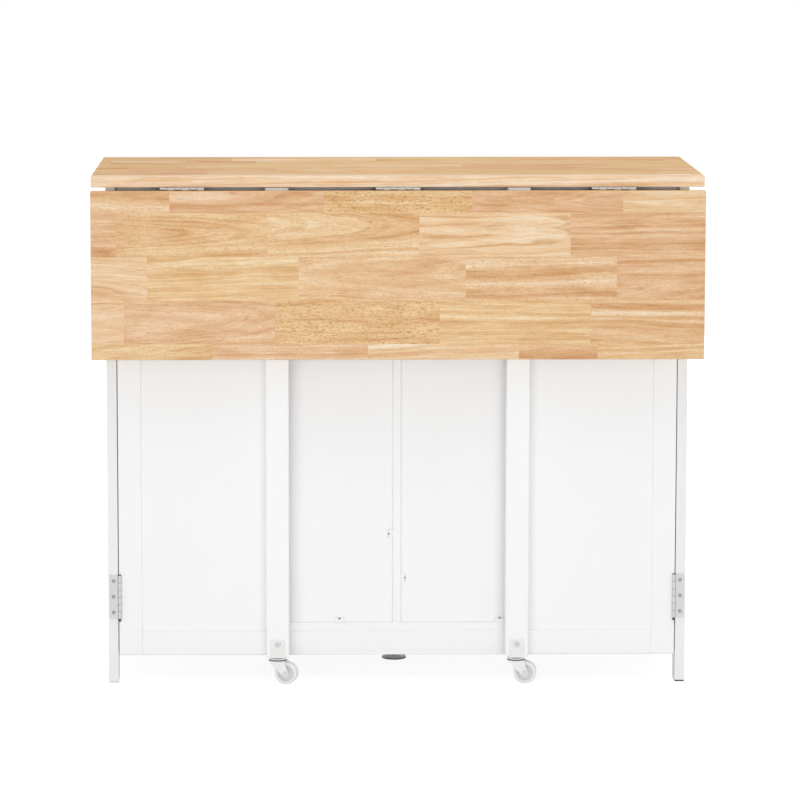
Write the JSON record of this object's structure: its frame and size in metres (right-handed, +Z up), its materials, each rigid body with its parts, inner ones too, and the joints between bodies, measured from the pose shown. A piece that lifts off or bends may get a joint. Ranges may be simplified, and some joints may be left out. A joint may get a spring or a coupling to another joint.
{
  "type": "drop leaf kitchen island",
  "caption": "Kitchen island with a wooden top, a hinged drop leaf on caster gates, doors and drawers.",
  "frame": {"origin": "on the floor, at the middle of the bounding box", "axes": "+X along the worktop, from the left end to the right end as seen from the drop leaf's side; +Y from the drop leaf towards the doors and drawers; +Z up"},
  "size_m": [1.1, 0.4754, 0.93],
  "materials": {
    "rubberwood": "satin oiled",
    "white_paint": "satin paint",
    "zinc_steel": "bright zinc plated",
    "white_sheet_steel": "satin coated",
    "wheel_plastic": "matt",
    "dark_plastic": "matt",
    "pale_wood": "lacquered",
    "white_plastic": "matt"
  },
  "bodies": {
    "cabinet": {"worktop": "rubberwood", "left_rear_leg": "white_paint", "right_rear_leg": "white_paint", "left_front_leg": "white_paint", "right_front_leg": "white_paint", "left_side_panel": "white_paint", "right_side_panel": "white_paint", "side_rails": "white_paint", "bottom_board": "white_paint", "centre_partition": "white_paint", "left_back_panel": "white_paint", "right_back_panel": "white_paint", "back_clips": "white_plastic", "rear_top_rail": "white_paint", "rear_bottom_rail": "white_paint", "front_rails": "white_paint", "centre_foot": "dark_plastic", "leg_pads": "dark_plastic", "shelves": "white_paint", "shelf_pins": "zinc_steel", "fixed_hinge_plates": "zinc_steel", "hinge_pins": "zinc_steel", "drawer_runners": "zinc_steel", "door_catches": "white_plastic", "cabinet_screws": "zinc_steel"},
    "leaf": {"drop_leaf": "rubberwood", "leaf_hinge_plates": "zinc_steel", "leaf_screws": "zinc_steel"},
    "left_gate": {"left_gate_stile": "white_paint", "left_gate_rails": "white_paint", "left_gate_panel": "white_paint", "left_gate_post": "white_paint", "left_gate_hinge_plates": "zinc_steel", "left_gate_screws": "zinc_steel", "left_caster_bracket": "white_sheet_steel"},
    "left_fork": {"left_caster_fork": "white_sheet_steel", "left_caster_axle": "zinc_steel"},
    "left_wheel": {"left_wheel": "wheel_plastic"},
    "left_door": {"left_door": "white_paint", "left_door_knob": "zinc_steel", "left_door_hinge_plates": "zinc_steel"},
    "left_drawer": {"left_drawer_front": "white_paint", "left_drawer_box": "pale_wood", "left_drawer_knob": "zinc_steel"},
    "right_gate": {"right_gate_stile": "white_paint", "right_gate_rails": "white_paint", "right_gate_panel": "white_paint", "right_gate_post": "white_paint", "right_gate_hinge_plates": "zinc_steel", "right_gate_screws": "zinc_steel", "right_caster_bracket": "white_sheet_steel"},
    "right_fork": {"right_caster_fork": "white_sheet_steel", "right_caster_axle": "zinc_steel"},
    "right_wheel": {"right_wheel": "wheel_plastic"},
    "right_door": {"right_door": "white_paint", "right_door_knob": "zinc_steel", "right_door_hinge_plates": "zinc_steel"},
    "right_drawer": {"right_drawer_front": "white_paint", "right_drawer_box": "pale_wood", "right_drawer_knob": "zinc_steel"}
  },
  "joints": [
    {"name": "leaf_fold", "type": "hinge", "parent": "cabinet", "child": "leaf", "pos_m": [0, -0.21475, 0.907], "axis": [-1, 0, 0], "range_deg": [0, 90]},
    {"name": "left_gate_swing", "type": "hinge", "parent": "cabinet", "child": "left_gate", "pos_m": [-0.5047, -0.18825, 0.47], "axis": [0, 0, -1], "range_deg": [0, 1.2]},
    {"name": "left_caster_swivel", "type": "hinge", "parent": "left_gate", "child": "left_fork", "pos_m": [-0.2175, -0.18925, 0.046], "axis": [0, 0, 1], "continuous": true},
    {"name": "left_wheel_spin", "type": "hinge", "parent": "left_fork", "child": "left_wheel", "pos_m": [-0.20156, -0.19352, 0.0205], "axis": [0.2588, 0.9659, 0], "continuous": true},
    {"name": "right_gate_swing", "type": "hinge", "parent": "cabinet", "child": "right_gate", "pos_m": [0.5047, -0.18825, 0.47], "axis": [0, 0, 1], "range_deg": [0, 1.2]},
    {"name": "right_caster_swivel", "type": "hinge", "parent": "right_gate", "child": "right_fork", "pos_m": [0.2175, -0.18925, 0.046], "axis": [0, 0, 1], "continuous": true},
    {"name": "right_wheel_spin", "type": "hinge", "parent": "right_fork", "child": "right_wheel", "pos_m": [0.23384, -0.19155, 0.0205], "axis": [0.1392, 0.9903, 0], "continuous": true},
    {"name": "left_door_swing", "type": "hinge", "parent": "cabinet", "child": "left_door", "pos_m": [-0.5065, 0.21395, 0.43], "axis": [0, 0, 1], "range_deg": [0, 110]},
    {"name": "left_drawer_slide", "type": "slide", "parent": "cabinet", "child": "left_drawer", "axis": [0, 1, 0], "range_m": [0, 0.25]},
    {"name": "right_door_swing", "type": "hinge", "parent": "cabinet", "child": "right_door", "pos_m": [0.5065, 0.21395, 0.43], "axis": [0, 0, -1], "range_deg": [0, 110]},
    {"name": "right_drawer_slide", "type": "slide", "parent": "cabinet", "child": "right_drawer", "axis": [0, 1, 0], "range_m": [0, 0.25]}
  ]
}
